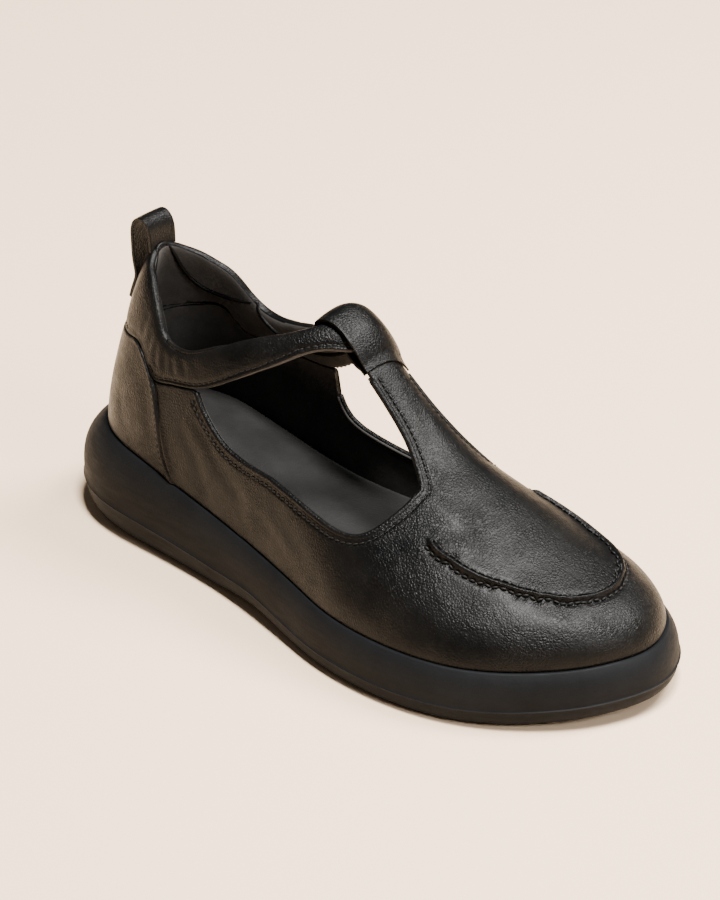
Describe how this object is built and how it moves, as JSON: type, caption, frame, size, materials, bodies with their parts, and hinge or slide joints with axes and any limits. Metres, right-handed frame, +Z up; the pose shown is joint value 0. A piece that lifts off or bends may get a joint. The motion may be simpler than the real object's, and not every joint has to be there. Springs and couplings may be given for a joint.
{
  "type": "shoe",
  "caption": "Black leather T-bar mary jane shoe, right foot, with a padded collar band, a looped bar, cut-outs, a heel pull loop and a thick one-colour rubber sole",
  "frame": {"origin": "centre of the bounding box in plan, at the height of the lowest contact face", "axes": "+X from heel to toe, +Y to the inner (medial) side of the foot, +Z up"},
  "size_m": [0.2636, 0.1058, 0.1162],
  "materials": {
    "leather": "grained, semi-gloss",
    "rubber": "matte, slightly scuffed",
    "insole": "napped, matte"
  },
  "bodies": {
    "root": {"sole": "rubber", "insole": "insole", "upper": "leather", "collar_band": "leather", "bar_loop": "leather", "pull_loop": "leather"}
  },
  "joints": []
}
